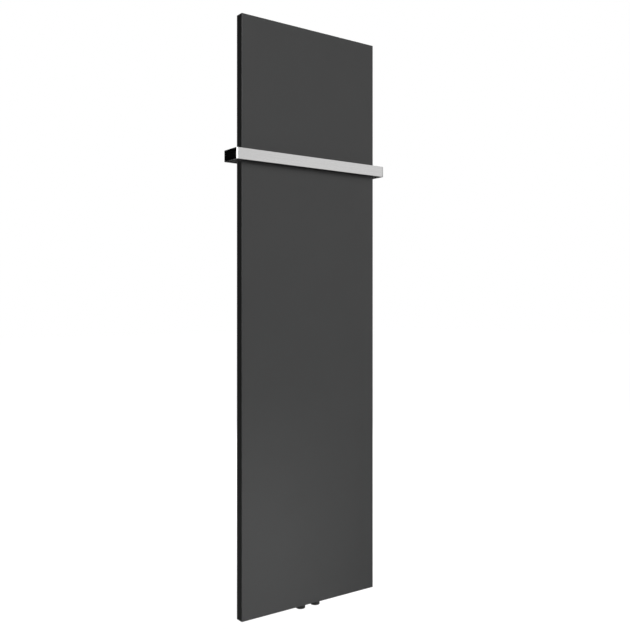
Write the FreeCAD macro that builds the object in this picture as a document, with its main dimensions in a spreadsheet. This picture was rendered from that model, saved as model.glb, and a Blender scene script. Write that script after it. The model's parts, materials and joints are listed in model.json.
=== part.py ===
import FreeCAD, Part
import os
import re

import Sketcher

# A flat vertical panel radiator with a towel rail, hung on four wall hooks.
# Millimetres. +X right, -Y towards the room, +Z up. The origin is midway between the towel rail's
# front and the wall, on the centre line, level with the mouths of the pipe connections.
SIZES = {
    # front panel, a folded steel tray open at the back
    "panel_width": 450,
    "panel_height": 1600,
    "panel_depth": 26,
    "panel_gauge": 1.5,
    "panel_lip": 10,
    "panel_bend": 1.5,
    "mitre_gap": 0.6,
    "panel_front": -27,
    "panel_base": 10,
    "socket_notch_radius": 14,
    "vent_notch_radius": 15,
    # flat upright water tubes
    "tube_pitch": 70,
    "tube_width": 66,
    "tube_depth": 11,
    "tube_gauge": 1.5,
    "tube_corner": 4,
    "tube_bore_corner": 2.5,
    # square cross tubes
    "header_size": 30,
    "header_gauge": 2,
    "header_length": 418,
    "header_corner": 3,
    "header_bore_corner": 1,
    "lower_header_base": 22,
    "upper_header_base": 1555,
    "port_width": 58,
    "port_depth": 6,
    "cap_gauge": 2,
    # pipe connections
    "socket_pitch": 50,
    "socket_radius": 13,
    "thread_radius": 9.3,
    "thread_depth": 15,
    "bore_radius": 7.5,
    "mouth_chamfer": 1,
    # air vent
    "vent_place": 175,
    "vent_boss_height": 12,
    "vent_plug_reach": 10,
    "vent_seal_height": 0.8,
    "vent_seal_radius": 12,
    "vent_flange_height": 4,
    "vent_flange_flats": 22,
    "vent_neck_radius": 4.5,
    "vent_neck_height": 4.6,
    "vent_bore_radius": 3,
    "vent_nozzle_radius": 8,
    "vent_nozzle_height": 4,
    "vent_spout_radius": 1.6,
    "vent_spout_reach": 11.5,
    "spindle_radius": 2.95,
    "spindle_length": 17,
    "spindle_square": 4.2,
    "spindle_sunk": 0.75,
    # rear C-rails
    "rail_spacing": 300,
    "rail_width": 27,
    "rail_depth": 14.5,
    "rail_gauge": 1.5,
    "rail_slot": 11,
    "rail_inset": 3,
    "spacer_width": 40,
    "spacer_height": 30,
    "spacer_gauge": 2,
    # towel rail, a flat strip bent round the panel
    "bar_front": -45,
    "bar_base": 1222,
    "bar_height": 30,
    "bar_gauge": 3,
    "bar_reach": 251,
    "bar_bend": 4.5,
    "bar_tab_end": 132,
    "bar_tab_corner": 8,
    "bar_edge": 0.4,
    # clamps of the towel rail
    "running_gap": 0.05,
    "clamp_hole_radius": 3.2,
    "clamp_screw_radius": 2.95,
    "clamp_thread_radius": 3,
    "clamp_head_radius": 5.25,
    "clamp_head_height": 3.3,
    "clamp_screw_length": 12,
    "clamp_key_flats": 4,
    "clamp_key_depth": 2,
    "nut_side": 20,
    "nut_thickness": 4,
    # hangers
    "hanger_low": 160,
    "hanger_high": 1460,
    "hanger_collar_radius": 8.5,
    "hanger_collar_height": 2,
    "hanger_neck_radius": 6,
    "hanger_neck_length": 6.5,
    "hanger_head_flats": 17,
    "hanger_head_height": 4,
    "hanger_thread_radius": 4,
    "hanger_thread_length": 9,
    # wall brackets
    "wall_plane": 45,
    "bracket_width": 44,
    "bracket_gauge": 3,
    "bracket_front": 23,
    "bracket_foot": 24,
    "bracket_top": 75,
    "hook_top": 14,
    "bend_inside": 1.5,
    "bend_outside": 4.5,
    "bracket_corner": 6,
    "fixing_radius": 4.25,
    "fixing_slot_length": 16,
    "fixing_slot_height": 38,
    "fixing_hole_height": 60,
    # plastic liners in the hooks
    "liner_wall": 2,
    "liner_flange": 1.5,
    "liner_flange_gauge": 0.8,
}
TUBE_COUNT = 6
SPACER_LEVELS = (400, 800, 1180)
SIDES = {"left": -1, "right": 1}
LEVELS = {"lower": "hanger_low", "upper": "hanger_high"}

# Levels that several pieces share, written as sheet expressions.
PANEL_BACK = "(panel_front + panel_depth)"
PANEL_TOP = "(panel_base + panel_height)"
TUBE_FRONT = "(panel_front + panel_gauge)"
TUBE_BACK = "(panel_front + panel_gauge + tube_depth)"
HEADER_MIDDLE = "(panel_front + panel_gauge + header_size / 2)"
RAIL_FRONT = "(panel_front + panel_gauge + header_size)"
RAIL_BACK = "(panel_front + panel_gauge + header_size + rail_depth)"
LOWER_HEADER_TOP = "(lower_header_base + header_size)"
UPPER_HEADER_TOP = "(upper_header_base + header_size)"
TAB_FRONT = f"({RAIL_BACK} + running_gap)"
TAB_BACK = f"({RAIL_BACK} + running_gap + bar_gauge)"
BAR_MIDDLE = "(bar_base + bar_height / 2)"
LIP_FRONT = f"({RAIL_BACK} - rail_gauge)"
HOOK_RADIUS = "(hanger_neck_radius + running_gap + liner_wall)"

# How near two places lie that count as one, when an edge is looked up by its place.
NEAR = 0.05

# For each axis: the origin plane square to it, and whether that plane's normal runs along it.
PLANES = {"x": ("YZ_Plane", 1), "y": ("XZ_Plane", -1), "z": ("XY_Plane", 1)}
AXES = {"x": FreeCAD.Vector(1, 0, 0), "y": FreeCAD.Vector(0, 1, 0), "z": FreeCAD.Vector(0, 0, 1)}

document = FreeCAD.newDocument("radiator")
sheet = document.addObject("Spreadsheet::Sheet", "Sizes")
nodes = []


def fill_sheet():
    """Writes every driving size into its own row, with its name as alias."""
    for row, (name, value) in enumerate(SIZES.items(), start=1):
        sheet.set(f"A{row}", name)
        sheet.set(f"B{row}", str(value))
        sheet.setAlias(f"B{row}", name)
    document.recompute()


def bound(text):
    """The expression with each size's name pointed at the sheet."""
    def point(word):
        return f"Sizes.{word.group()}" if word.group() in SIZES else word.group()

    return re.sub(r"[a-z_]+", point, str(text))


def value(text):
    """The number that an expression gives now."""
    return float(sheet.evalExpression(bound(text)))


def new_body(name):
    body = document.addObject("PartDesign::Body", name)
    body.Label = name
    nodes.append(body)
    return body


# ---------------------------------------------------------------- sketch outlines
# An outline is a function that draws one closed loop in a sketch. Its coordinates are expressions:
# X and Y in a sketch square to z, X and Z square to y, Y and Z square to x.


def pin(sketch, geometry, point, across, up):
    """Ties a point of the sketch to its two coordinates; None leaves one free."""
    for kind, text in (("DistanceX", across), ("DistanceY", up)):
        if text is None:
            continue
        rule = Sketcher.Constraint(kind, -1, 1, geometry, point, value(text))
        index = sketch.addConstraint(rule)
        sketch.setExpression(f"Constraints[{index}]", bound(text))


def polygon(*corners):
    """A closed loop of straight lines through the corners."""

    def draw(sketch):
        first = sketch.GeometryCount
        count = len(corners)
        spots = [FreeCAD.Vector(value(across), value(up), 0) for across, up in corners]
        for index in range(count):
            sketch.addGeometry(Part.LineSegment(spots[index], spots[(index + 1) % count]))
        for index, (across, up) in enumerate(corners):
            before = first + (index - 1) % count
            sketch.addConstraint(Sketcher.Constraint("Coincident", before, 2, first + index, 1))
            pin(sketch, first + index, 1, across, up)

    return draw


def rectangle(left, right, low, high):
    return polygon((left, low), (right, low), (right, high), (left, high))


def disc(across, up, radius):
    """A full circle."""

    def draw(sketch):
        middle = FreeCAD.Vector(value(across), value(up), 0)
        index = sketch.addGeometry(Part.Circle(middle, AXES["z"], value(radius)))
        pin(sketch, index, 3, across, up)
        rule = sketch.addConstraint(Sketcher.Constraint("Radius", index, value(radius)))
        sketch.setExpression(f"Constraints[{rule}]", bound(radius))

    return draw


def hexagon(across, up, flats):
    """A regular hexagon of the given width across its flats, with two flats upright."""
    half = f"({flats}) / 2"
    corner = f"({flats}) / sqrt(3)"
    return polygon(
        (f"{across} + {half}", f"{up} - {corner} / 2"),
        (f"{across} + {half}", f"{up} + {corner} / 2"),
        (across, f"{up} + {corner}"),
        (f"{across} - {half}", f"{up} + {corner} / 2"),
        (f"{across} - {half}", f"{up} - {corner} / 2"),
        (across, f"{up} - {corner}"),
    )


def trough(across, up, radius, rim):
    """A half circle whose two ends run straight on to the level `rim`, closed by a straight line."""

    def draw(sketch):
        middle_x, middle_y, size, top = value(across), value(up), value(radius), value(rim)
        rising = top > middle_y
        left, right = f"{across} - {radius}", f"{across} + {radius}"
        spots = [
            FreeCAD.Vector(middle_x - size, top, 0),
            FreeCAD.Vector(middle_x - size, middle_y, 0),
            FreeCAD.Vector(middle_x + size, middle_y, 0),
            FreeCAD.Vector(middle_x + size, top, 0),
        ]
        bottom = middle_y - size if rising else middle_y + size
        curve = Part.Arc(spots[1], FreeCAD.Vector(middle_x, bottom, 0), spots[2])
        down = sketch.addGeometry(Part.LineSegment(spots[0], spots[1]))
        arc = sketch.addGeometry(curve)
        rise = sketch.addGeometry(Part.LineSegment(spots[2], spots[3]))
        close = sketch.addGeometry(Part.LineSegment(spots[3], spots[0]))
        arc_start, arc_end = (1, 2) if rising else (2, 1)
        for joint in (
            (down, 2, arc, arc_start),
            (arc, arc_end, rise, 1),
            (rise, 2, close, 1),
            (close, 2, down, 1),
        ):
            sketch.addConstraint(Sketcher.Constraint("Coincident", *joint))
        pin(sketch, down, 1, left, rim)
        pin(sketch, down, 2, left, up)
        pin(sketch, rise, 1, right, up)
        pin(sketch, rise, 2, right, rim)
        pin(sketch, arc, 3, None, up)

    return draw


# ---------------------------------------------------------------- features


def profile(body, name, axis, start, outlines):
    """A sketch square to the axis, at `start` along it, holding the outlines."""
    role, sense = PLANES[axis]
    sketch = body.newObject("Sketcher::SketchObject", name)
    plane = next(item for item in body.Origin.OriginFeatures if item.Role == role)
    sketch.AttachmentSupport = [(plane, "")]
    sketch.MapMode = "FlatFace"
    sketch.setExpression("AttachmentOffset.Base.z", bound(f"{sense} * ({start})"))
    for draw in outlines:
        draw(sketch)
    return sketch


def add(body, name, axis, start, end, *outlines):
    """Adds the outlines' material between two places along the axis."""
    sketch = profile(body, f"{name}_profile", axis, start, outlines)
    feature = body.newObject("PartDesign::Pad", name)
    feature.Profile = sketch
    feature.Reversed = PLANES[axis][1] < 0
    feature.setExpression("Length", bound(f"({end}) - ({start})"))
    document.recompute()


def cut(body, name, axis, start, end, *outlines):
    """Cuts the outlines away between two places along the axis, and makes sure that it cut."""
    before = body.Shape.Volume
    sketch = profile(body, f"{name}_profile", axis, start, outlines)
    feature = body.newObject("PartDesign::Pocket", name)
    feature.Profile = sketch
    feature.Reversed = PLANES[axis][1] > 0
    feature.setExpression("Length", bound(f"({end}) - ({start})"))
    document.recompute()
    if body.Shape.Volume >= before:
        raise RuntimeError(f"{name} cuts nothing from {body.Label}")


def edges_along(body, axis, wanted=lambda spot: True):
    """Names of the body's straight edges that run along the axis and pass the test on their middle."""
    found = []
    for index, edge in enumerate(body.Shape.Edges, start=1):
        if not isinstance(edge.Curve, Part.Line):
            continue
        parallel = abs(edge.Curve.Direction.dot(AXES[axis])) > 0.999
        if parallel and wanted(edge.CenterOfMass):
            found.append(f"Edge{index}")
    return found


def bore_edges(body, axis):
    """Names of the straight edges along the axis that lie clear of the piece's outer faces."""
    inside = body.Shape.BoundBox
    inside.enlarge(-NEAR)
    return edges_along(body, axis, inside.isInside)


def dress(body, kind, name, edges, size):
    """Rounds ("Fillet") or bevels ("Chamfer") the edges."""
    base = body.Tip
    feature = body.newObject(f"PartDesign::{kind}", name)
    feature.Base = (base, edges)
    feature.setExpression("Radius" if kind == "Fillet" else "Size", bound(size))
    body.Tip = feature
    document.recompute()


# ---------------------------------------------------------------- panel and water way


def front_panel():
    """The visible tray: flat front, four folded sides, and a lip turned in along the open back."""
    body = new_body("front_panel")
    half = "panel_width / 2"
    outside = rectangle(f"-{half}", half, "panel_base", PANEL_TOP)
    add(body, "tray", "y", "panel_front", PANEL_BACK, outside)
    every_edge = [name for axis in AXES for name in edges_along(body, axis)]
    dress(body, "Fillet", "bends", every_edge, "panel_bend")
    inner = f"{half} - panel_gauge"
    low, high = "panel_base + panel_gauge", f"{PANEL_TOP} - panel_gauge"
    cavity = rectangle(f"-({inner})", inner, low, high)
    cut(body, "cavity", "y", TUBE_FRONT, f"{PANEL_BACK} - panel_gauge", cavity)
    inner = f"{half} - panel_lip"
    low, high = "panel_base + panel_lip", f"{PANEL_TOP} - panel_lip"
    mouth = rectangle(f"-({inner})", inner, low, high)
    cut(body, "mouth", "y", TUBE_FRONT, PANEL_BACK, mouth)
    for side, sign in SIDES.items():
        notch = trough(f"{sign} * socket_pitch / 2", HEADER_MIDDLE, "socket_notch_radius", PANEL_BACK)
        cut(body, f"{side}_notch", "z", "panel_base", "lower_header_base", notch)
    vent_notch = trough("vent_place", HEADER_MIDDLE, "vent_notch_radius", PANEL_BACK)
    cut(body, "vent_notch", "z", f"{PANEL_TOP} - panel_lip", PANEL_TOP, vent_notch)
    mitres = [mitre(sense, rise) for sense in SIDES.values() for rise in (-1, 1)]
    cut(body, "mitres", "y", f"{PANEL_BACK} - panel_gauge", PANEL_BACK, *mitres)


def mitre(sense, rise):
    """The slanting gap where two lips meet in one corner of the tray's back."""
    side = f"{sense} * panel_width / 2"
    edge = "panel_base" if rise < 0 else PANEL_TOP
    near, far = "panel_bend", "(panel_lip + mitre_gap)"
    return polygon(
        (f"{side} - {sense} * ({near} + mitre_gap)", f"{edge} - {rise} * {near}"),
        (f"{side} - {sense} * ({far} + mitre_gap)", f"{edge} - {rise} * {far}"),
        (f"{side} - {sense} * {far}", f"{edge} - {rise} * ({far} + mitre_gap)"),
        (f"{side} - {sense} * {near}", f"{edge} - {rise} * ({near} + mitre_gap)"),
    )


def water_tubes():
    """Flat tubes side by side against the panel, from header to header."""
    for index in range(TUBE_COUNT):
        body = new_body(f"water_tube_{index + 1}")
        place = f"{index - (TUBE_COUNT - 1) / 2} * tube_pitch"
        left, right = f"{place} - tube_width / 2", f"{place} + tube_width / 2"
        outside = rectangle(left, right, TUBE_FRONT, TUBE_BACK)
        add(body, "tube", "z", LOWER_HEADER_TOP, "upper_header_base", outside)
        dress(body, "Fillet", "corners", edges_along(body, "z"), "tube_corner")
        bore = rectangle(
            f"{left} + tube_gauge",
            f"{right} - tube_gauge",
            f"{TUBE_FRONT} + tube_gauge",
            f"{TUBE_BACK} - tube_gauge",
        )
        cut(body, "bore", "z", LOWER_HEADER_TOP, "upper_header_base", bore)
        dress(body, "Fillet", "bore_corners", bore_edges(body, "z"), "tube_bore_corner")


def header(name, base):
    """A square cross tube along x; returns its body for its ports."""
    body = new_body(name)
    half = "header_length / 2"
    outside = rectangle(TUBE_FRONT, RAIL_FRONT, base, f"{base} + header_size")
    add(body, "tube", "x", f"-{half}", half, outside)
    dress(body, "Fillet", "corners", edges_along(body, "x"), "header_corner")
    bore = rectangle(
        f"{TUBE_FRONT} + header_gauge",
        f"{RAIL_FRONT} - header_gauge",
        f"{base} + header_gauge",
        f"{base} + header_size - header_gauge",
    )
    cut(body, "bore", "x", f"-{half}", half, bore)
    dress(body, "Fillet", "bore_corners", bore_edges(body, "x"), "header_bore_corner")
    return body


def tube_ports():
    """One slot for each water tube, in the middle of the tube's own bore."""
    middle = f"{TUBE_FRONT} + tube_depth / 2"
    ports = []
    for index in range(TUBE_COUNT):
        place = f"{index - (TUBE_COUNT - 1) / 2} * tube_pitch"
        ports.append(
            rectangle(
                f"{place} - port_width / 2",
                f"{place} + port_width / 2",
                f"{middle} - port_depth / 2",
                f"{middle} + port_depth / 2",
            )
        )
    return ports


def headers():
    """The two cross tubes with the ports of the tubes, the sockets and the vent, and their end caps."""
    lower = header("bottom_header", "lower_header_base")
    floor = f"{LOWER_HEADER_TOP} - header_gauge"
    cut(lower, "tube_ports", "z", floor, LOWER_HEADER_TOP, *tube_ports())
    sockets = [
        disc(f"{sign} * socket_pitch / 2", HEADER_MIDDLE, "bore_radius")
        for sign in SIDES.values()
    ]
    cut(lower, "socket_ports", "z", "lower_header_base", "lower_header_base + header_gauge", *sockets)
    upper = header("top_header", "upper_header_base")
    ceiling = "upper_header_base + header_gauge"
    cut(upper, "tube_ports", "z", "upper_header_base", ceiling, *tube_ports())
    vent = disc("vent_place", HEADER_MIDDLE, "bore_radius")
    cut(upper, "vent_port", "z", f"{UPPER_HEADER_TOP} - header_gauge", UPPER_HEADER_TOP, vent)

    caps = new_body("header_end_caps")
    caps.AllowCompound = True
    squares = [
        rectangle(TUBE_FRONT, RAIL_FRONT, base, f"{base} + header_size")
        for base in ("lower_header_base", "upper_header_base")
    ]
    half = "header_length / 2"
    add(caps, "left_caps", "x", f"-{half} - cap_gauge", f"-{half}", *squares)
    add(caps, "right_caps", "x", half, f"{half} + cap_gauge", *squares)

    divider = new_body("flow_divider")
    inside = rectangle(
        f"{TUBE_FRONT} + header_gauge",
        f"{RAIL_FRONT} - header_gauge",
        "lower_header_base + header_gauge",
        f"{LOWER_HEADER_TOP} - header_gauge",
    )
    add(divider, "plate", "x", "-header_gauge / 2", "header_gauge / 2", inside)
    dress(divider, "Fillet", "corners", edges_along(divider, "x"), "header_bore_corner")


def sockets():
    """Female threaded pipe connections; the thread is a plain bore at its minor diameter."""
    for name, sign in (("supply_socket", -1), ("return_socket", 1)):
        body = new_body(name)
        place = f"{sign} * socket_pitch / 2"
        outside = disc(place, HEADER_MIDDLE, "socket_radius")
        add(body, "barrel", "z", "0", "lower_header_base", outside)
        dress(body, "Chamfer", "rim", rim_edges(body, "socket_radius", 0), "mouth_chamfer / 2")
        cut(body, "thread", "z", "0", "thread_depth", disc(place, HEADER_MIDDLE, "thread_radius"))
        bore = disc(place, HEADER_MIDDLE, "bore_radius")
        cut(body, "bore", "z", "thread_depth", "lower_header_base", bore)
        dress(body, "Chamfer", "mouth", rim_edges(body, "thread_radius", 0), "mouth_chamfer")


def rim_edges(body, radius, level):
    """Names of the body's round edges of this radius at this height."""
    found = []
    for index, edge in enumerate(body.Shape.Edges, start=1):
        if not isinstance(edge.Curve, Part.Circle):
            continue
        same_size = abs(edge.Curve.Radius - value(radius)) < NEAR
        if same_size and abs(edge.CenterOfMass.z - value(level)) < NEAR:
            found.append(f"Edge{index}")
    return found


# ---------------------------------------------------------------- air vent


def air_vent():
    """Boss, sealed plug, turning nozzle collar and square-headed spindle on top of the upper header."""
    spot = ("vent_place", HEADER_MIDDLE)
    boss_top = f"({UPPER_HEADER_TOP} + vent_boss_height)"
    seal_top = f"({boss_top} + vent_seal_height)"
    flange_top = f"({seal_top} + vent_flange_height)"

    boss = new_body("vent_boss")
    add(boss, "barrel", "z", UPPER_HEADER_TOP, boss_top, disc(*spot, "socket_radius"))
    cut(boss, "thread", "z", UPPER_HEADER_TOP, boss_top, disc(*spot, "thread_radius"))

    seal = new_body("vent_seal")
    ring = disc(*spot, "vent_seal_radius"), disc(*spot, "thread_radius")
    add(seal, "ring", "z", boss_top, seal_top, *ring)

    plug = new_body("vent_plug")
    add(plug, "shank", "z", f"{boss_top} - vent_plug_reach", seal_top, disc(*spot, "thread_radius"))
    add(plug, "flange", "z", seal_top, flange_top, hexagon(*spot, "vent_flange_flats"))
    neck_top = f"({flange_top} + vent_neck_height)"
    add(plug, "neck", "z", flange_top, neck_top, disc(*spot, "vent_neck_radius"))
    cut(plug, "bore", "z", f"{boss_top} - vent_plug_reach", neck_top, disc(*spot, "vent_bore_radius"))

    nozzle = new_body("vent_nozzle")
    low = f"({flange_top} + running_gap)"
    high = f"({low} + vent_nozzle_height)"
    add(nozzle, "collar", "z", low, high, disc(*spot, "vent_nozzle_radius"))
    spout = disc("vent_place", f"{low} + vent_nozzle_height / 2", "vent_spout_radius")
    add(nozzle, "spout", "y", HEADER_MIDDLE, f"{HEADER_MIDDLE} + vent_spout_reach", spout)
    cut(nozzle, "collar_bore", "z", low, high, disc(*spot, "vent_neck_radius + running_gap"))
    outlet = disc("vent_place", f"{low} + vent_nozzle_height / 2", "vent_spout_radius / 2")
    neck_side = f"{HEADER_MIDDLE} + vent_neck_radius"
    cut(nozzle, "outlet", "y", neck_side, f"{HEADER_MIDDLE} + vent_spout_reach", outlet)

    spindle = new_body("vent_spindle")
    foot = f"({neck_top} - spindle_length)"
    add(spindle, "stem", "z", foot, neck_top, disc(*spot, "spindle_radius"))
    dress(spindle, "Chamfer", "tip", rim_edges(spindle, "spindle_radius", foot), "spindle_radius / 2")
    half = "spindle_square / 2"
    across = (f"vent_place - {half}", f"vent_place + {half}")
    square = rectangle(*across, f"{HEADER_MIDDLE} - {half}", f"{HEADER_MIDDLE} + {half}")
    add(spindle, "key_square", "z", neck_top, f"{PANEL_TOP} - spindle_sunk", square)


# ---------------------------------------------------------------- rear rails


def rear_rails():
    """Welded C-rails, open to the wall, that run from header to header."""
    for side, sign in SIDES.items():
        body = new_body(f"rear_rail_{side}")
        middle = f"{sign} * rail_spacing / 2"
        left, right = f"{middle} - rail_width / 2", f"{middle} + rail_width / 2"
        low, high = "lower_header_base + rail_inset", f"{UPPER_HEADER_TOP} - rail_inset"
        add(body, "section", "z", low, high, rectangle(left, right, RAIL_FRONT, RAIL_BACK))
        dress(body, "Fillet", "bends", edges_along(body, "z"), "rail_gauge")
        inner = (f"{left} + rail_gauge", f"{right} - rail_gauge")
        hollow = rectangle(*inner, f"{RAIL_FRONT} + rail_gauge", LIP_FRONT)
        cut(body, "hollow", "z", low, high, hollow)
        slot = rectangle(f"{middle} - rail_slot / 2", f"{middle} + rail_slot / 2", LIP_FRONT, RAIL_BACK)
        cut(body, "slot", "z", low, high, slot)

    spacers = new_body("rail_spacers")
    spacers.AllowCompound = True
    for level_index, level in enumerate(SPACER_LEVELS):
        channels = [channel(f"{sign} * rail_spacing / 2") for sign in SIDES.values()]
        add(spacers, f"spacers_{level_index}", "z", level, f"{level} + spacer_height", *channels)


def channel(middle):
    """The plan of one spacer: a U whose web is welded to the rail and whose feet stand on the tubes."""
    left, right = f"{middle} - spacer_width / 2", f"{middle} + spacer_width / 2"
    web = f"{RAIL_FRONT} - spacer_gauge"
    return polygon(
        (left, TUBE_BACK),
        (f"{left} + spacer_gauge", TUBE_BACK),
        (f"{left} + spacer_gauge", web),
        (f"{right} - spacer_gauge", web),
        (f"{right} - spacer_gauge", TUBE_BACK),
        (right, TUBE_BACK),
        (right, RAIL_FRONT),
        (left, RAIL_FRONT),
    )


# ---------------------------------------------------------------- towel rail


def towel_rail():
    """A flat strip bent round the panel's edges, with two tabs that clamp on the rear rails."""
    body = new_body("towel_rail")
    inner = "bar_reach - bar_gauge"
    strip = polygon(
        ("-bar_tab_end", TAB_BACK),
        ("-bar_reach", TAB_BACK),
        ("-bar_reach", "bar_front"),
        ("bar_reach", "bar_front"),
        ("bar_reach", TAB_BACK),
        ("bar_tab_end", TAB_BACK),
        ("bar_tab_end", TAB_FRONT),
        (inner, TAB_FRONT),
        (inner, "bar_front + bar_gauge"),
        (f"-({inner})", "bar_front + bar_gauge"),
        (f"-({inner})", TAB_FRONT),
        ("-bar_tab_end", TAB_FRONT),
    )
    add(body, "strip", "z", "bar_base", "bar_base + bar_height", strip)
    dress(body, "Fillet", "outer_bends", edges_out_at(body, "z", "bar_reach"), "bar_bend")
    dress(body, "Fillet", "inner_bends", edges_out_at(body, "z", inner), "bar_bend - bar_gauge")
    dress(body, "Fillet", "tab_corners", edges_out_at(body, "y", "bar_tab_end"), "bar_tab_corner")
    holes = [
        disc(f"{sign} * rail_spacing / 2", BAR_MIDDLE, "clamp_hole_radius")
        for sign in SIDES.values()
    ]
    cut(body, "clamp_holes", "y", TAB_FRONT, TAB_BACK, *holes)
    dress(body, "Fillet", "softened_edges", outline_edges(body), "bar_edge")


def edges_out_at(body, axis, reach):
    """Names of the edges along the axis that lie `reach` away from the centre line, on both sides."""
    distance = value(reach)
    return edges_along(body, axis, lambda spot: abs(abs(spot.x) - distance) < NEAR)


def outline_edges(body):
    """Names of the edges round the strip's upper and lower faces."""
    levels = value("bar_base"), value("bar_base + bar_height")
    found = []
    for index, edge in enumerate(body.Shape.Edges, start=1):
        heights = [vertex.Z for vertex in edge.Vertexes]
        if any(max(abs(height - level) for height in heights) < NEAR for level in levels):
            found.append(f"Edge{index}")
    return found


def square(across, up):
    """The outline of a square nut plate."""
    half = "nut_side / 2"
    return rectangle(f"{across} - {half}", f"{across} + {half}", f"{up} - {half}", f"{up} + {half}")


def towel_rail_clamps():
    """On each side a screw through the tab and a square nut plate inside the rear rail."""
    for side, sign in SIDES.items():
        middle = f"{sign} * rail_spacing / 2"
        spot = (middle, BAR_MIDDLE)
        nut = new_body(f"clamp_nut_{side}")
        nut_back = f"({LIP_FRONT} - running_gap)"
        nut_front = f"({nut_back} - nut_thickness)"
        add(nut, "plate", "y", nut_front, nut_back, square(*spot))
        cut(nut, "thread", "y", nut_front, nut_back, disc(*spot, "clamp_thread_radius"))

        screw = new_body(f"clamp_screw_{side}")
        seat = f"({TAB_BACK} + running_gap)"
        head_back = f"({seat} + clamp_head_height)"
        add(screw, "head", "y", seat, head_back, disc(*spot, "clamp_head_radius"))
        add(screw, "shank", "y", f"{seat} - clamp_screw_length", seat, disc(*spot, "clamp_screw_radius"))
        key = hexagon(*spot, "clamp_key_flats")
        cut(screw, "key_socket", "y", f"{head_back} - clamp_key_depth", head_back, key)


# ---------------------------------------------------------------- hangers and wall brackets


def hanger_spots():
    """The four places, across and up, where the radiator hangs."""
    spots = []
    for level in LEVELS.values():
        spots += [(f"{sign} * rail_spacing / 2", level) for sign in SIDES.values()]
    return spots


def hangers():
    """Square nuts inside the rear rails, and shoulder bolts whose necks lie in the wall hooks."""
    nuts = new_body("hanger_nuts")
    nuts.AllowCompound = True
    plates = [square(*spot) for spot in hanger_spots()]
    threads = [disc(*spot, "hanger_thread_radius") for spot in hanger_spots()]
    add(nuts, "plates", "y", f"{LIP_FRONT} - nut_thickness", LIP_FRONT, *plates)
    cut(nuts, "threads", "y", f"{LIP_FRONT} - nut_thickness", LIP_FRONT, *threads)

    bolts = new_body("hanger_bolts")
    bolts.AllowCompound = True
    collar_back = f"({RAIL_BACK} + hanger_collar_height)"
    neck_back = f"({collar_back} + hanger_neck_length)"
    collars = [disc(*spot, "hanger_collar_radius") for spot in hanger_spots()]
    necks = [disc(*spot, "hanger_neck_radius") for spot in hanger_spots()]
    heads = [hexagon(*spot, "hanger_head_flats") for spot in hanger_spots()]
    add(bolts, "collars", "y", RAIL_BACK, collar_back, *collars)
    add(bolts, "threads", "y", f"{RAIL_BACK} - hanger_thread_length", RAIL_BACK, *threads)
    add(bolts, "necks", "y", collar_back, neck_back, *necks)
    add(bolts, "heads", "y", neck_back, f"{neck_back} + hanger_head_height", *heads)


def wall_bracket(name, across, level):
    """A bent steel strip: a plate on the wall, a web, and an upright hook plate with a trough."""
    body = new_body(name)
    foot, gauge = f"({level} - bracket_foot)", "bracket_gauge"
    hook_back, plate_front = f"bracket_front + {gauge}", f"wall_plane - {gauge}"
    bent = polygon(
        ("bracket_front", foot),
        ("wall_plane", foot),
        ("wall_plane", f"{level} + bracket_top"),
        (plate_front, f"{level} + bracket_top"),
        (plate_front, f"{foot} + {gauge}"),
        (hook_back, f"{foot} + {gauge}"),
        (hook_back, f"{level} + hook_top"),
        ("bracket_front", f"{level} + hook_top"),
    )
    half = "bracket_width / 2"
    add(body, "strip", "x", f"{across} - {half}", f"{across} + {half}", bent)
    foot_level, shelf_level = value(foot), value(f"{foot} + {gauge}")
    outside = edges_along(body, "x", lambda spot: abs(spot.z - foot_level) < NEAR)
    dress(body, "Fillet", "outer_bends", outside, "bend_outside")
    inside = edges_along(body, "x", lambda spot: abs(spot.z - shelf_level) < NEAR)
    dress(body, "Fillet", "inner_bends", inside, "bend_inside")
    lowest_top = value(f"{level} + hook_top")
    tops = edges_along(body, "y", lambda spot: spot.z > lowest_top - NEAR)
    dress(body, "Fillet", "corners", tops, "bracket_corner")
    hook = trough(across, level, HOOK_RADIUS, f"{level} + hook_top")
    cut(body, "hook", "y", "bracket_front", hook_back, hook)
    hole = disc(across, f"{level} + fixing_hole_height", "fixing_radius")
    cut(body, "fixing_hole", "y", plate_front, "wall_plane", hole)
    slot_level = f"({level} + fixing_slot_height)"
    straight = "(fixing_slot_length / 2 - fixing_radius)"
    slot = stadium(across, slot_level, "fixing_radius", straight)
    cut(body, "fixing_slot", "y", plate_front, "wall_plane", slot)


def stadium(across, up, radius, straight):
    """A slot lying along the sketch's first axis: two half circles joined by straight lines."""

    def draw(sketch):
        middle_x, middle_y, size, run = value(across), value(up), value(radius), value(straight)
        left, right = f"{across} - {straight}", f"{across} + {straight}"
        low, high = f"{up} - {radius}", f"{up} + {radius}"
        corners = [
            FreeCAD.Vector(middle_x + sense * run, middle_y + rise * size, 0)
            for sense, rise in ((-1, -1), (1, -1), (1, 1), (-1, 1))
        ]
        right_end = FreeCAD.Vector(middle_x + run + size, middle_y, 0)
        left_end = FreeCAD.Vector(middle_x - run - size, middle_y, 0)
        bottom = sketch.addGeometry(Part.LineSegment(corners[0], corners[1]))
        right_arc = sketch.addGeometry(Part.Arc(corners[1], right_end, corners[2]))
        top = sketch.addGeometry(Part.LineSegment(corners[2], corners[3]))
        left_arc = sketch.addGeometry(Part.Arc(corners[3], left_end, corners[0]))
        loop = ((bottom, right_arc), (right_arc, top), (top, left_arc), (left_arc, bottom))
        for before, after in loop:
            sketch.addConstraint(Sketcher.Constraint("Coincident", before, 2, after, 1))
        pin(sketch, bottom, 1, left, low)
        pin(sketch, bottom, 2, right, low)
        pin(sketch, top, 1, right, high)
        pin(sketch, top, 2, left, high)
        pin(sketch, right_arc, 3, right, None)
        pin(sketch, left_arc, 3, left, None)

    return draw


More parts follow.
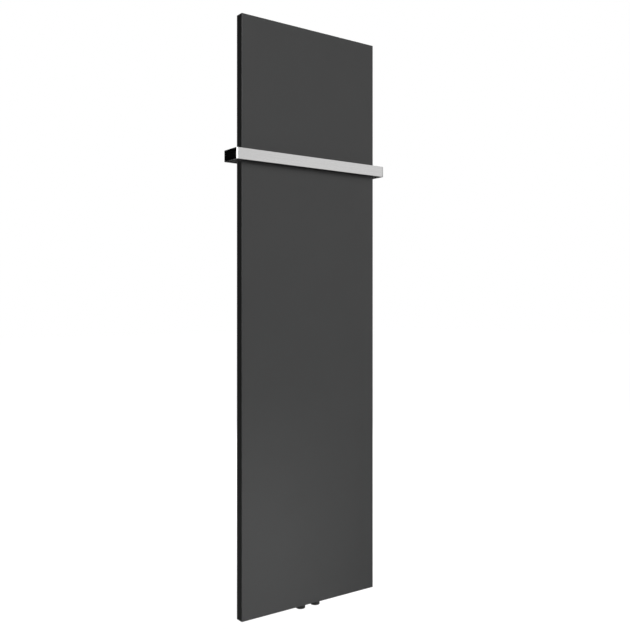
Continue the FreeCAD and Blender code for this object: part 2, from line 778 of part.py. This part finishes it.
def wall_brackets():
    """Four hook brackets, and the plastic liners clipped over their troughs."""
    for level_name, level in LEVELS.items():
        for side, sign in SIDES.items():
            wall_bracket(f"wall_bracket_{level_name}_{side}", f"{sign} * rail_spacing / 2", level)

    liners = new_body("bracket_liners")
    liners.AllowCompound = True
    hook_back = "(bracket_front + bracket_gauge)"
    front, back = "(bracket_front - liner_flange_gauge)", f"({hook_back} + liner_flange_gauge)"
    bodies = [trough(*spot, HOOK_RADIUS, f"{spot[1]} + hook_top") for spot in hanger_spots()]
    flange_radius = f"({HOOK_RADIUS} + liner_flange)"
    flanges = [trough(*spot, flange_radius, f"{spot[1]} + hook_top") for spot in hanger_spots()]
    gap_radius = "(hanger_neck_radius + running_gap)"
    gaps = [trough(*spot, gap_radius, f"{spot[1]} + hook_top") for spot in hanger_spots()]
    add(liners, "linings", "y", "bracket_front", hook_back, *bodies)
    add(liners, "front_flanges", "y", front, "bracket_front", *flanges)
    add(liners, "rear_flanges", "y", hook_back, back, *flanges)
    cut(liners, "troughs", "y", front, back, *gaps)


# ---------------------------------------------------------------- build, check, write


def build():
    fill_sheet()
    front_panel()
    water_tubes()
    headers()
    sockets()
    air_vent()
    rear_rails()
    towel_rail()
    towel_rail_clamps()
    hangers()
    wall_brackets()
    document.recompute()


def check():
    """Stops before anything is written if an object failed or a piece isn't a sound solid."""
    for item in document.Objects:
        if "Invalid" in item.State or "Error" in item.State:
            raise RuntimeError(f"{item.Label} failed: {item.State}")
    for body in nodes:
        if body.Shape.isNull() or not body.Shape.isValid() or not body.Shape.Solids:
            raise RuntimeError(f"{body.Label} is not a sound solid")


def write():
    os.makedirs("parts", exist_ok=True)
    for body in nodes:
        body.Shape.exportStep(f"parts/{body.Label}.step")


build()
check()
write()
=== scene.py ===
import json
import math

import bmesh
import bpy
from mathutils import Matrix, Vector

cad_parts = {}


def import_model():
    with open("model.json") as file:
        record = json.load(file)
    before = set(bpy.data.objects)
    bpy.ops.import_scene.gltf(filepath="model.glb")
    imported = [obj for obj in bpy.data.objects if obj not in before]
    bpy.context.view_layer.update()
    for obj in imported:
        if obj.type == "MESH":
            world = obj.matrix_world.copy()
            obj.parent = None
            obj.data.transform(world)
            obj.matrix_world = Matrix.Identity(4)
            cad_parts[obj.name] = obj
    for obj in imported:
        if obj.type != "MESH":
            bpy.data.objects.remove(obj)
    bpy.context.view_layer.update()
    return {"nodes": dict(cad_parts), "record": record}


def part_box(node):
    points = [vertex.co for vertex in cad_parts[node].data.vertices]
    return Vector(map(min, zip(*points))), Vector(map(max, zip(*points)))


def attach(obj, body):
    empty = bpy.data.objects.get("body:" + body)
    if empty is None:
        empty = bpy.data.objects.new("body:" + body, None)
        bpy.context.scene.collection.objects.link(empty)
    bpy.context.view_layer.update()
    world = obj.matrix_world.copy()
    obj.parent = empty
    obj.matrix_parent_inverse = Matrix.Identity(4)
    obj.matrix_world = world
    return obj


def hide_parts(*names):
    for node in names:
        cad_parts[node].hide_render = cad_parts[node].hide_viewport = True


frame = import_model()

MM = 0.001

# The camera stands in front of the radiator and to its left, at mid height, looking level. The
# picture is shifted instead of the camera tilted, so uprights stay upright.
CAMERA_PLACE = Vector((-1.3038, -1.8297, 0.8348))
CAMERA_TURN = math.radians(-36.145)
CAMERA_LENS_MM = 45.57
CAMERA_SHIFT = -0.0111

# The studio is a dim grey as the radiator sees it, and dark behind and a little to the left.
FLOOR_LEVEL = -0.15
DARK_SIDE = Vector((-0.3, 0.95, 0.0))
WORLD_GLOW = 0.09
# FLOOR_GLOW is a glow the floor gives only in reflections, a painted sheen rather than a lamp.
FLOOR_GLOW = 0.14


# ---------------------------------------------------------------- shader helpers


class Shader:
    """A node tree being built. Inputs are numbers, colours, or sockets of other nodes."""

    def __init__(self, tree):
        self.tree = tree
        tree.nodes.clear()

    def node(self, kind, inputs=None, **settings):
        made = self.tree.nodes.new(kind)
        for name, value in settings.items():
            setattr(made, name, value)
        for name, value in (inputs or {}).items():
            socket = made.inputs[name]
            if isinstance(value, bpy.types.NodeSocket):
                self.tree.links.new(value, socket)
            else:
                socket.default_value = value
        return made

    def maths(self, operation, first, second):
        return self.node("ShaderNodeMath", {0: first, 1: second}, operation=operation).outputs[0]

    def mixture(self, first, second, share):
        """Two numbers added up, with this share of the first and the rest from the second."""
        parts = (self.maths("MULTIPLY", first, share), self.maths("MULTIPLY", second, 1 - share))
        return self.maths("ADD", *parts)

    def place(self, scale):
        """Object coordinates in metres, stretched by scale."""
        where = self.node("ShaderNodeTexCoord").outputs["Object"]
        return self.node("ShaderNodeMapping", {"Vector": where, "Scale": scale}).outputs["Vector"]

    def noise(self, scale, size, detail=2.0):
        """Noise from 0 to 1; size is how many features fit in a metre, scale stretches the space."""
        inputs = {"Vector": self.place(scale), "Scale": size, "Detail": detail}
        return self.node("ShaderNodeTexNoise", inputs).outputs["Fac"]

    def spread(self, source, low, high):
        """The 0-to-1 source mapped to low-to-high, with the noise's usual range widened to fill it."""
        inputs = {"Value": source, "From Min": 0.3, "From Max": 0.7, "To Min": low, "To Max": high}
        return self.node("ShaderNodeMapRange", inputs).outputs["Result"]

    def tint(self, amount, dark, light):
        """Colour between dark and light."""
        made = self.node("ShaderNodeMix", {"Factor": amount}, data_type="RGBA")
        made.inputs["A"].default_value = (*dark, 1.0)
        made.inputs["B"].default_value = (*light, 1.0)
        return made.outputs["Result"]

    def bump(self, height, depth, normal):
        inputs = {"Height": height, "Strength": 1.0, "Distance": depth, "Normal": normal}
        return self.node("ShaderNodeBump", inputs).outputs["Normal"]

    def soft_edges(self, radius):
        """The normal as if sharp edges were rounded, and a mask that is 1 on those edges."""
        rounded = self.node("ShaderNodeBevel", {"Radius": radius}, samples=4).outputs["Normal"]
        plain = self.node("ShaderNodeNewGeometry").outputs["Normal"]
        agreement = self.node("ShaderNodeVectorMath", {0: rounded, 1: plain}, operation="DOT_PRODUCT")
        inputs = {
            "Value": agreement.outputs["Value"],
            "From Min": 0.75,
            "From Max": 0.97,
            "To Min": 1.0,
            "To Max": 0.0,
        }
        return rounded, self.node("ShaderNodeMapRange", inputs).outputs["Result"]

    def blend(self, amount, below, above):
        """Colour between two colours that are themselves outputs of nodes or plain colours."""
        made = self.node("ShaderNodeMix", data_type="RGBA")
        for name, value in (("Factor", amount), ("A", below), ("B", above)):
            if isinstance(value, bpy.types.NodeSocket):
                self.tree.links.new(value, made.inputs[name])
            else:
                made.inputs[name].default_value = value if name == "Factor" else (*value, 1.0)
        return made.outputs["Result"]

    def away_from_dark_side(self, direction, level):
        """The level, falling to nothing where the direction runs to the dark side."""
        facing = self.node(
            "ShaderNodeVectorMath", {0: direction, 1: DARK_SIDE.normalized()}, operation="DOT_PRODUCT"
        ).outputs["Value"]
        inputs = {"Value": facing, "From Min": 0.1, "From Max": 0.6, "To Min": level, "To Max": 0.0}
        return self.node("ShaderNodeMapRange", inputs).outputs["Result"]

    def surface(self, inputs):
        """A principled surface with these inputs, joined to the material's output."""
        shader = self.node("ShaderNodeBsdfPrincipled", inputs)
        output = self.node("ShaderNodeOutputMaterial")
        self.tree.links.new(shader.outputs["BSDF"], output.inputs["Surface"])


def grey(tone, warmth=0.0):
    """A grey that leans to yellow where warmth is above 0, and to blue below it."""
    return (tone * (1 + warmth), tone, tone * (1 - warmth))


def brighter(colour, factor):
    return tuple(channel * factor for channel in colour)


def new_material(name):
    material = bpy.data.materials.new(name)
    material.use_nodes = True
    return material, Shader(material.node_tree)


# The same scale along all three axes.
EVEN = (1.0, 1.0, 1.0)


def powder_coat():
    """Satin anthracite powder coat: orange peel, faint drifts in tone, and patchy lighter edges, partly
    a thin film of coat and partly a painted edge highlight.
    """
    material, make = new_material("powder_coat")
    drift = make.noise(EVEN, 2.2, 3.0)
    speckle = make.noise(EVEN, 1600.0, 2.0)
    tone = make.mixture(drift, speckle, 0.6)
    film = make.tint(make.spread(tone, 0.0, 1.0), grey(0.050, -0.006), grey(0.058, -0.004))
    rounded, edge = make.soft_edges(0.5 * MM)
    patchy = make.spread(make.noise(EVEN, 90.0, 4.0), 0.15, 0.75)
    orange_peel = make.noise(EVEN, 480.0, 2.0)
    grain = make.noise(EVEN, 2600.0, 1.0)
    cloudy = make.noise(EVEN, 14.0, 4.0)
    make.surface(
        {
            # The patchy lightening on the edges is partly a thin film of coat and partly a painted edge
            # highlight.
            "Base Color": make.blend(make.maths("MULTIPLY", edge, patchy), film, grey(0.095)),
            "Roughness": make.spread(cloudy, 0.38, 0.46),
            "Normal": make.bump(grain, 0.02 * MM, make.bump(orange_peel, 0.12 * MM, rounded)),
            "Specular IOR Level": 0.45,
        }
    )
    return material


def brushed_steel():
    """Stainless strip with fine brush lines that run level round the bar, and edges painted lighter as
    a painted highlight.
    """
    material, make = new_material("brushed_rail")
    lines = make.noise((5.0, 5.0, 2400.0), 1.0, 4.0)
    streaks = make.noise((1.6, 1.6, 420.0), 1.0, 3.0)
    both = make.mixture(lines, streaks, 0.6)
    brushed = make.tint(make.spread(both, 0.0, 1.0), grey(0.66, 0.004), grey(0.70, 0.004))
    rounded, edge = make.soft_edges(0.3 * MM)
    make.surface(
        {
            # Edges are painted lighter: a painted edge highlight.
            "Base Color": make.blend(make.maths("MULTIPLY", edge, 0.4), brushed, grey(0.85)),
            "Metallic": 1.0,
            "Roughness": make.spread(lines, 0.21, 0.29),
            "Normal": make.bump(lines, 0.002 * MM, rounded),
            "Anisotropic": 0.5,
            "Anisotropic Rotation": 0.25,
        }
    )
    return material


def plain_metal(name, tone, warmth, roughness, mottle):
    """Plated or machined metal with a fine mottle, light scuffs and bright edges, partly worn and
    partly a painted edge highlight.
    """
    material, make = new_material(name)
    cloud = make.spread(make.noise(EVEN, 260.0, 4.0), 0.0, 1.0)
    scuff = make.noise((700.0, 90.0, 700.0), 1.0, 3.0)
    mottled = make.tint(cloud, grey(tone * (1 - mottle), warmth), grey(tone, warmth))
    # The brighter edge colour is partly wear and partly a painted edge highlight.
    wear_and_edge_highlight = grey(min(1.0, tone * 1.25), warmth)
    rounded, edge = make.soft_edges(0.25 * MM)
    make.surface(
        {
            "Base Color": make.blend(make.maths("MULTIPLY", edge, 0.5), mottled, wear_and_edge_highlight),
            "Metallic": 1.0,
            "Roughness": make.spread(scuff, roughness * 0.8, roughness * 1.3),
            "Normal": make.bump(scuff, 0.004 * MM, rounded),
        }
    )
    return material


def moulded(name, colour, roughness, grain_depth):
    """Rubber or moulded plastic with a fine spark-eroded grain, and edges painted lighter as a painted
    highlight.
    """
    material, make = new_material(name)
    grain = make.noise(EVEN, 2400.0, 2.0)
    cloud = make.spread(make.noise(EVEN, 60.0, 3.0), 0.0, 1.0)
    clouded = make.tint(cloud, colour, brighter(colour, 1.15))
    rounded, edge = make.soft_edges(0.25 * MM)
    make.surface(
        {
            # Edges are painted lighter: a painted edge highlight.
            "Base Color": make.blend(make.maths("MULTIPLY", edge, 0.3), clouded, brighter(colour, 1.3)),
            "Roughness": make.spread(grain, roughness * 0.9, roughness * 1.1),
            "Normal": make.bump(grain, grain_depth * MM, rounded),
        }
    )
    return material


def dress_frame():
    """Gives every CAD node the procedural material of its slot."""
    coat = powder_coat()
    by_slot = {
        "powder_coat": coat,
        "bracket_coat": coat,
        "brushed_rail": brushed_steel(),
        "stainless_screw": plain_metal("stainless_screw", 0.62, 0.0, 0.28, 0.08),
        "zinc_plate": plain_metal("zinc_plate", 0.60, -0.02, 0.36, 0.16),
        "nickel_brass": plain_metal("nickel_brass", 0.68, 0.05, 0.25, 0.08),
        "seal_rubber": moulded("seal_rubber", (0.02, 0.02, 0.02), 0.7, 0.02),
        "nozzle_plastic": moulded("nozzle_plastic", (0.52, 0.52, 0.50), 0.38, 0.01),
        "liner_plastic": moulded("liner_plastic", (0.025, 0.025, 0.027), 0.5, 0.02),
    }
    for part in frame["record"]["subparts"]:
        mesh = frame["nodes"][part["node"]].data
        mesh.materials.clear()
        mesh.materials.append(by_slot[part["material_slot"]])
    return by_slot


# ---------------------------------------------------------------- mesh pieces


class Shells:
    """Closed shells gathered into one mesh."""

    def __init__(self):
        self.points = []
        self.faces = []
        self.inner = set()

    def skin(self, rings, loop=False, inner_rows=0):
        """Joins rings of equal count. The last ring meets the first one, or both ends are capped.

        The first inner_rows bands take the mesh's second material.
        """
        first, count, last = len(self.points), len(rings[0]), len(rings) - 1
        for ring in rings:
            self.points.extend(ring)
        bands = [(row, row + 1) for row in range(last)] + ([(last, 0)] if loop else [])
        for here, there in bands:
            for step in range(count):
                after = (step + 1) % count
                near, far = first + here * count, first + there * count
                if here < inner_rows:
                    self.inner.add(len(self.faces))
                self.faces.append((near + step, near + after, far + after, far + step))
        if not loop:
            self.faces.append(tuple(first + step for step in range(count)))
            self.faces.append(tuple(first + last * count + step for step in range(count)))

    def piece(self, name, slot, body, *materials):
        """Makes the mesh, with its faces turned outwards, and rides it on the body."""
        mesh = bpy.data.meshes.new(name)
        mesh.from_pydata(self.points, [], self.faces)
        for face in self.inner:
            mesh.polygons[face].material_index = 1
        work = bmesh.new()
        work.from_mesh(mesh)
        bmesh.ops.recalc_face_normals(work, faces=work.faces)
        work.to_mesh(mesh)
        work.free()
        mesh.shade_smooth()
        for material in materials:
            mesh.materials.append(material)
        item = bpy.data.objects.new(name, mesh)
        bpy.context.scene.collection.objects.link(item)
        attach(item, body)
        return item


# A weld bead is a row of overlapping ripples, five to the centimetre. Each kind of seam has a
# radius of its own.
RIPPLE = 1.9 * MM
BEAD_STEP = 0.45 * MM
BEAD_SIDES = 14
TUBE_BEAD = 2.1 * MM
RAIL_BEAD = 1.7 * MM
SPACER_BEAD = 1.5 * MM
ROUND_BEAD = 1.8 * MM
CAP_BEAD = 1.2 * MM
STITCH_BEAD = 1.8 * MM
TUBE_COUNT = 6

# Where the panel is stitched to its headers, across the panel, in metres.
STITCH_PLACES = (-0.195, -0.125, -0.065, 0.065, 0.125, 0.200)


def straight(start, end):
    """Points from start to end, a bead step apart."""
    start, end = Vector(start), Vector(end)
    count = max(2, round((end - start).length / BEAD_STEP))
    return [start.lerp(end, step / count) for step in range(count + 1)]


def circle(centre, radius):
    """Points round a level circle, a bead step apart."""
    count = round(2 * math.pi * radius / BEAD_STEP)
    turns = [2 * math.pi * step / count for step in range(count)]
    return [Vector(centre) + radius * Vector((math.cos(turn), math.sin(turn), 0.0)) for turn in turns]


def bead(shells, path, square_to, radius, closed=False):
    """A rippled weld bead along a path that lies in the plane square to the given direction."""
    across = Vector(square_to)
    count = len(path)
    rings = []
    for step, spot in enumerate(path):
        before = path[step - 1] if closed or step else path[step]
        after = path[(step + 1) % count] if closed or step + 1 < count else path[step]
        outward = (after - before).normalized().cross(across)
        done = step * BEAD_STEP
        left_over = (count - 1 - step) * BEAD_STEP
        swell = 1.0 + 0.05 * math.sin(done / (4.3 * MM) + spot.x * 90)
        swell += 0.03 * math.sin(done / (1.7 * MM))
        if not closed:
            ending = min(1.0, done / radius, left_over / radius)
            swell *= math.sqrt(max(0.02, 1.0 - (1.0 - ending) ** 2))
        ring = []
        for side in range(BEAD_SIDES):
            turn = 2 * math.pi * side / BEAD_SIDES
            ripple = 0.08 * math.cos(2 * math.pi * (done / RIPPLE + 0.25 * math.cos(2 * turn)))
            reach = radius * (swell + ripple)
            ring.append(spot + outward * (reach * math.cos(turn)) + across * (reach * math.sin(turn)))
        rings.append(ring)
    shells.skin(rings, loop=closed)


def levels(node, axis):
    """The places along an axis (0, 1, 2) where a node has corners, lowest first."""
    places = {round(corner.co[axis], 5) for corner in frame["nodes"][node].data.vertices}
    return sorted(places)


def tube_welds(coat):
    """Each flat tube is welded along its rear edge to both headers."""
    shells = Shells()
    corner = 5 * MM
    for number in range(1, TUBE_COUNT + 1):
        low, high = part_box(f"water_tube_{number}")
        for level in (low.z, high.z):
            path = straight((low.x + corner, high.y, level), (high.x - corner, high.y, level))
            bead(shells, path, (0, 0, 1), TUBE_BEAD)
    shells.piece("tube_welds", "powder_coat", "radiator", coat)


def rail_welds(coat):
    """Each rear rail is welded to the headers, and its spacers to the rail and to the tubes."""
    shells = Shells()
    corner, end_gap = 3.5 * MM, 1 * MM
    lower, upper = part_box("bottom_header"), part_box("top_header")
    spacer_x, spacer_z = levels("rail_spacers", 0), levels("rail_spacers", 2)
    tube_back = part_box("water_tube_1")[1].y
    spacers = list(zip(spacer_z[0::2], spacer_z[1::2]))
    for side in ("left", "right"):
        low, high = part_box(f"rear_rail_{side}")
        ends = [(low.z + end_gap, lower[1].z - corner), (upper[0].z + corner, high.z - end_gap)]
        for bottom, top in ends + spacers:
            for flank in (low.x, high.x):
                path = straight((flank, low.y, bottom), (flank, low.y, top))
                bead(shells, path, (0, 1, 0), RAIL_BEAD)
    for bottom, top in spacers:
        for foot in (spacer_x[0], spacer_x[3], spacer_x[-4], spacer_x[-1]):
            path = straight((foot, tube_back, bottom), (foot, tube_back, top))
            bead(shells, path, (0, 1, 0), SPACER_BEAD)
    shells.piece("rail_welds", "powder_coat", "radiator", coat)


def round_welds(coat):
    """The pipe connections and the vent's boss are welded to their headers all round."""
    shells = Shells()
    for node, at_top in (("supply_socket", True), ("return_socket", True), ("vent_boss", False)):
        low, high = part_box(node)
        centre = ((low.x + high.x) / 2, (low.y + high.y) / 2, high.z if at_top else low.z)
        path = circle(centre, (high.x - low.x) / 2)
        bead(shells, path, (0, 0, 1), ROUND_BEAD, closed=True)
    shells.piece("connection_welds", "powder_coat", "radiator", coat)


def cap_welds(coat):
    """The end caps are welded to the headers below, behind and above."""
    shells = Shells()
    inset = 2 * MM
    for node in ("bottom_header", "top_header"):
        low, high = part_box(node)
        for seam in (low.x, high.x):
            for level in (low.z, high.z):
                path = straight((seam, low.y + inset, level), (seam, high.y - inset, level))
                bead(shells, path, (1, 0, 0), CAP_BEAD)
            path = straight((seam, high.y, low.z + inset), (seam, high.y, high.z - inset))
            bead(shells, path, (1, 0, 0), CAP_BEAD)
    shells.piece("cap_welds", "powder_coat", "radiator", coat)


def panel_stitches(coat):
    """Short stitches that hold the headers to the back of the panel."""
    shells = Shells()
    half = 9 * MM
    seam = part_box("top_header")[0].y + 1 * MM
    for level in (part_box("top_header")[1].z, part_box("bottom_header")[0].z):
        for place in STITCH_PLACES:
            path = straight((place - half, seam, level), (place + half, seam, level))
            bead(shells, path, (0, 0, 1), STITCH_BEAD)
    shells.piece("panel_stitches", "powder_coat", "radiator", coat)


# An internal G1/2 pipe thread. Crest and root are flat for a small share of the pitch.
THREAD_PITCH = 1.814 * MM
THREAD_DEPTH = 1.162 * MM
THREAD_FLAT = 0.12
THREAD_CREST = 9.3 * MM
THREAD_REACH = 15 * MM
THREAD_FADE = 1.5 * MM
THREAD_SIDES = 96
ROWS_PER_TURN = 13
SOCKET_BORE = 7.5 * MM
MOUTH_CHAMFER = 1 * MM
RIM_CHAMFER = 0.5 * MM
SHARP_ANGLE = math.radians(35)


def thread_radius(turn, height):
    """The radius of the internal pipe thread at this turn and height above the mouth."""
    phase = (height / THREAD_PITCH - turn / (2 * math.pi)) % 1.0
    flank = 1.0 - abs(2.0 * phase - 1.0)
    groove = min(1.0, max(0.0, (flank - THREAD_FLAT) / (1.0 - 2 * THREAD_FLAT)))
    fade = min(1.0, (THREAD_REACH - height) / THREAD_FADE)
    cone = THREAD_CREST + MOUTH_CHAMFER - height
    return max(THREAD_CREST + THREAD_DEPTH * groove * fade, cone)


def threaded_socket(node, coat, steel):
    """A pipe connection with a true helical thread, in the place of the plain barrel."""
    low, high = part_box(node)
    mouth = Vector(((low.x + high.x) / 2, (low.y + high.y) / 2, low.z))
    radius, top = (high.x - low.x) / 2, high.z - low.z
    turns = [2 * math.pi * step / THREAD_SIDES for step in range(THREAD_SIDES)]

    def ring(size, height):
        """A level ring; size is a radius, or a function of turn and height."""
        spots = []
        for turn in turns:
            reach = size(turn, height) if callable(size) else size
            spots.append(mouth + Vector((reach * math.cos(turn), reach * math.sin(turn), height)))
        return spots

    rows = round(THREAD_REACH / (THREAD_PITCH / ROWS_PER_TURN))
    rings = [ring(thread_radius, THREAD_REACH * row / rows) for row in range(rows + 1)]
    rings += [ring(SOCKET_BORE, THREAD_REACH), ring(SOCKET_BORE, top)]
    inner_rows = len(rings) - 1
    rings += [ring(radius, top), ring(radius, RIM_CHAMFER), ring(radius - RIM_CHAMFER, 0.0)]
    shells = Shells()
    shells.skin(rings, loop=True, inner_rows=inner_rows)
    piece = shells.piece(f"threaded_{node}", "powder_coat", "radiator", coat, steel)
    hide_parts(node)
    crisp_edges(piece)


def crisp_edges(item):
    """Keeps corners sharper than a shallow bend from being shaded as if they were round."""
    work = bmesh.new()
    work.from_mesh(item.data)
    for edge in work.edges:
        edge.smooth = edge.calc_face_angle(0.0) < SHARP_ANGLE
    work.to_mesh(item.data)
    work.free()


# ---------------------------------------------------------------- stage


def look_at(item, target):
    """Turns a light to face the target."""
    item.rotation_euler = (Vector(target) - item.location).to_track_quat("-Z", "Y").to_euler()


def softbox(name, place, target, size, power):
    """A white rectangular light that the camera doesn't see. The power is in watts."""
    light = bpy.data.lights.new(name, "AREA")
    light.shape = "RECTANGLE"
    light.size, light.size_y = size
    light.energy = power
    item = bpy.data.objects.new(name, light)
    item.location = place
    item.visible_camera = False
    bpy.context.scene.collection.objects.link(item)
    look_at(item, target)
    return item


def lights():
    """Soft light from the front and above, with fills that only lighten and cards that only reflect."""
    middle = (0.0, 0.0, 0.8)
    softbox("key_box", (-0.9, -5.0, 4.4), middle, (4.0, 4.0), 166.0)
    softbox("right_box", (2.55, -3.05, 1.6), middle, (2.8, 3.6), 25.0)
    softbox("rear_card", (2.2, 3.0, 3.0), middle, (3.2, 2.0), 24.0)
    softbox("top_box", (0.9, 1.1, 3.4), middle, (1.6, 1.6), 45.0)
    rear = softbox("rear_fill", (2.2, 3.1, 2.0), middle, (3.0, 3.0), 330.0)
    low = softbox("low_fill", (-0.14, -0.6, 0.11), (-0.18, 0.0, 0.1), (0.2, 0.4), 2.3)
    side = softbox("side_fill", (-3.0, 0.8, 1.7), middle, (1.2, 1.6), 5.0)
    for item in (rear, low, side):
        item.visible_glossy = False
    # The low fill leaves the pipe connections in the shadow of the panel.
    lit_low = bpy.data.collections.new("lit_low")
    lit_low.objects.link(frame["nodes"]["front_panel"])
    low.light_linking.receiver_collection = lit_low
    front_card = softbox("front_card", (-0.7, -3.4, 1.8), middle, (2.2, 2.4), 34.0)
    left_card = softbox("left_card", (-3.2, -1.4, 1.8), middle, (3.0, 2.4), 52.0)
    for item in (front_card, left_card):
        item.visible_diffuse = False


def world():
    """White to the camera; a dim grey to everything else, and black on the dark side."""
    scene = bpy.context.scene
    scene.world = bpy.data.worlds.new("studio")
    scene.world.use_nodes = True
    make = Shader(scene.world.node_tree)
    seen = make.node("ShaderNodeLightPath").outputs["Is Camera Ray"]
    direction = make.node("ShaderNodeTexCoord").outputs["Generated"]
    glow = make.away_from_dark_side(direction, WORLD_GLOW)
    strength = make.maths("MAXIMUM", seen, glow)
    colour = make.tint(strength, grey(0.0), grey(1.0))
    background = make.node("ShaderNodeBackground", {"Color": colour, "Strength": 1.0})
    output = make.node("ShaderNodeOutputWorld")
    make.tree.links.new(background.outputs["Background"], output.inputs["Surface"])


def floor():
    """A plain pale floor, far enough down for the pipes. To the camera it glows white, with painted
    shade near the radiator that fades into the white backdrop further out; in reflections it glows
    dimly, a painted sheen, except on the dark side.
    """
    reach = 25.0
    mesh = bpy.data.meshes.new("floor")
    corners = [(-reach, -reach), (reach, -reach), (reach, reach), (-reach, reach)]
    mesh.from_pydata([(across, away, FLOOR_LEVEL) for across, away in corners], [], [(0, 1, 2, 3)])
    item = bpy.data.objects.new("floor", mesh)
    bpy.context.scene.collection.objects.link(item)
    material, make = new_material("pale_floor")
    seen = make.node("ShaderNodeLightPath").outputs["Is Camera Ray"]
    grain = make.spread(make.noise(EVEN, 300.0, 3.0), 0.0, 1.0)
    spot = make.place(EVEN)
    distance = make.node("ShaderNodeVectorMath", {0: spot}, operation="LENGTH").outputs["Value"]
    # Painted shade: to the camera the floor is dimmer near the radiator and reaches full white from 1.2
    # m out.
    inputs = {"Value": distance, "From Min": 0.3, "From Max": 1.2, "To Min": 0.9, "To Max": 1.0}
    fade = make.node("ShaderNodeMapRange", inputs).outputs["Result"]
    # Painted sheen: the floor glows in reflections, though it is no lamp.
    mirrored = make.node("ShaderNodeLightPath").outputs["Is Glossy Ray"]
    outward = make.node("ShaderNodeVectorMath", {0: spot}, operation="NORMALIZE").outputs["Vector"]
    sheen = make.maths("MULTIPLY", mirrored, make.away_from_dark_side(outward, FLOOR_GLOW))
    make.surface(
        {
            "Base Color": make.tint(grain, grey(0.05), grey(0.06)),
            "Roughness": 0.9,
            "Emission Color": (1.0, 1.0, 1.0, 1.0),
            "Emission Strength": make.maths("ADD", make.maths("MULTIPLY", seen, fade), sheen),
        }
    )
    mesh.materials.append(material)


def camera():
    """Makes the camera and gives it to the scene."""
    data = bpy.data.cameras.new("camera")
    data.sensor_width = 36.0
    data.lens = CAMERA_LENS_MM
    data.shift_y = CAMERA_SHIFT
    item = bpy.data.objects.new("camera", data)
    item.location = CAMERA_PLACE
    item.rotation_euler = (math.radians(90), 0.0, CAMERA_TURN)
    bpy.context.scene.collection.objects.link(item)
    bpy.context.scene.camera = item


finishes = dress_frame()
coat = finishes["powder_coat"]
tube_welds(coat)
rail_welds(coat)
round_welds(coat)
cap_welds(coat)
panel_stitches(coat)
for socket in ("supply_socket", "return_socket"):
    threaded_socket(socket, coat, finishes["zinc_plate"])
lights()
world()
floor()
camera()
bpy.context.scene.view_settings.view_transform = "Standard"
